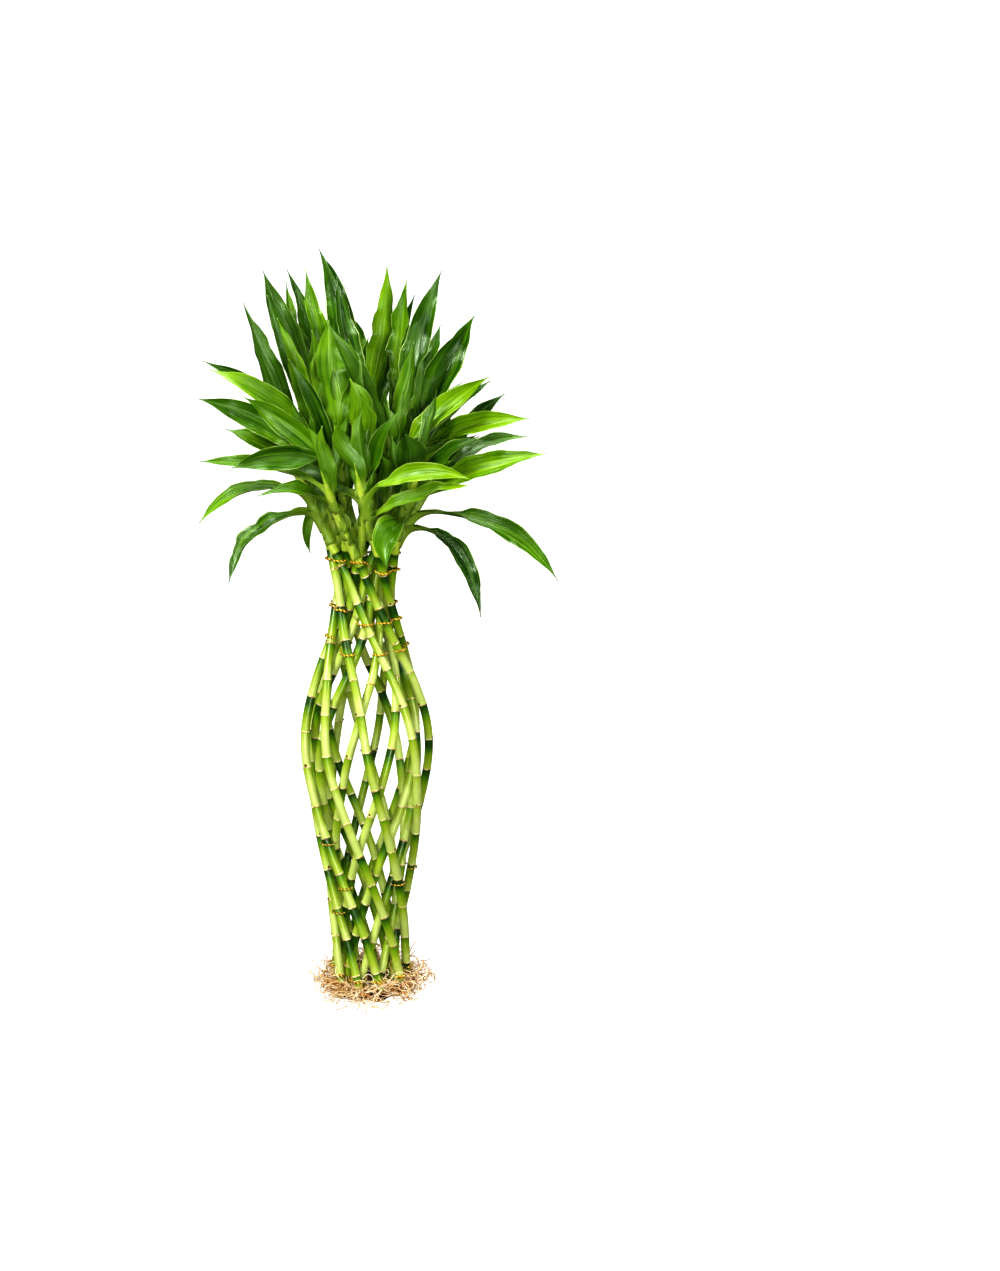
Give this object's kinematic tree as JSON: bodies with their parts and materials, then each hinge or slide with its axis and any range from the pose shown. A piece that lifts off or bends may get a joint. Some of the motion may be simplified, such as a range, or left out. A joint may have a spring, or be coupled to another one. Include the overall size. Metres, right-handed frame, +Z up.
{
  "type": "lucky bamboo plant",
  "caption": "Upright lucky bamboo: two layers of jointed green canes woven into a vase-shaped lattice, tied with fine wire, with a rooted foot and a head of long pointed leaves.",
  "frame": {"origin": "on the floor plane under the middle of the ring of canes, on the flat underside of the root mat", "axes": "+Z up along the axis of the woven vase, -Y towards the viewer of the picture"},
  "size_m": [0.422, 0.325, 0.902],
  "materials": {
    "cane": "smooth, waxy green skin",
    "leaf": "glossy leaf, lightly veined",
    "wire": "gold foil twisted with black",
    "root": "dull, fibrous"
  },
  "bodies": {
    "root": {"cane_inner_1": "cane", "cane_inner_2": "cane", "cane_inner_3": "cane", "cane_inner_4": "cane", "cane_inner_5": "cane", "cane_inner_6": "cane", "cane_inner_7": "cane", "cane_inner_8": "cane", "cane_inner_9": "cane", "cane_outer_1": "cane", "cane_outer_2": "cane", "cane_outer_3": "cane", "cane_outer_4": "cane", "cane_outer_5": "cane", "cane_outer_6": "cane", "cane_outer_7": "cane", "cane_outer_8": "cane", "cane_outer_9": "cane", "leafy_shoot_inner_1": "leaf", "leafy_shoot_inner_2": "leaf", "leafy_shoot_inner_3": "leaf", "leafy_shoot_inner_4": "leaf", "leafy_shoot_inner_5": "leaf", "leafy_shoot_inner_6": "leaf", "leafy_shoot_inner_7": "leaf", "leafy_shoot_inner_8": "leaf", "leafy_shoot_inner_9": "leaf", "leafy_shoot_outer_1": "leaf", "leafy_shoot_outer_2": "leaf", "leafy_shoot_outer_3": "leaf", "leafy_shoot_outer_4": "leaf", "leafy_shoot_outer_5": "leaf", "leafy_shoot_outer_6": "leaf", "leafy_shoot_outer_7": "leaf", "leafy_shoot_outer_8": "leaf", "leafy_shoot_outer_9": "leaf", "root_mat": "root", "wire_loop_1": "wire", "wire_loop_2": "wire", "wire_loop_3": "wire", "wire_loop_4": "wire", "wire_loop_5": "wire", "wire_row_1": "wire", "wire_row_2": "wire", "wire_row_3": "wire", "wire_row_4": "wire"}
  },
  "joints": []
}
